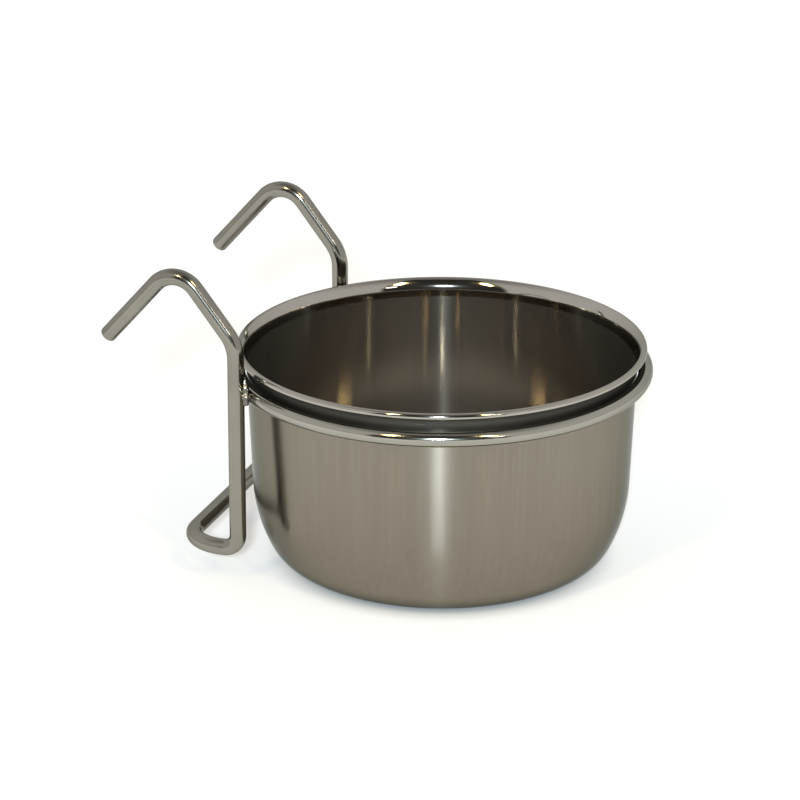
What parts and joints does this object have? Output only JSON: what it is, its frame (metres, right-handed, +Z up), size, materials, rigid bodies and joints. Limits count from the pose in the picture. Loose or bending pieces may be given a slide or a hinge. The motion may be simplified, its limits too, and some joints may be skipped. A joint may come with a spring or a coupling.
{
  "type": "hanging seed cup",
  "caption": "Round stainless steel seed cup with a curled lip, standing in a welded wire holder whose ring carries it and whose bent hooks hang it on a cage wall.",
  "frame": {"origin": "middle of the cup's flat base, on the surface that it stands on", "axes": "+Z up the cup's axis, +Y from the cup towards the cage wall that the hooks hang on, +X to the right seen from the cup's front"},
  "size_m": [0.1017, 0.1241, 0.0784],
  "materials": {
    "cup_steel": "satin brushed outside, polished inside and on the lip",
    "wire_steel": "polished drawn wire",
    "weld_steel": "cleaned weld metal, slightly lumpy"
  },
  "bodies": {
    "holder": {"support_ring": "wire_steel", "hook_wire": "wire_steel", "ring_weld_left": "weld_steel", "ring_weld_right": "weld_steel"},
    "cup": {"cup": "cup_steel"}
  },
  "joints": [
    {"name": "cup_lift", "type": "slide", "parent": "holder", "child": "cup", "axis": [0, 0, 1], "range_m": [-0.0029, 0.06]}
  ]
}
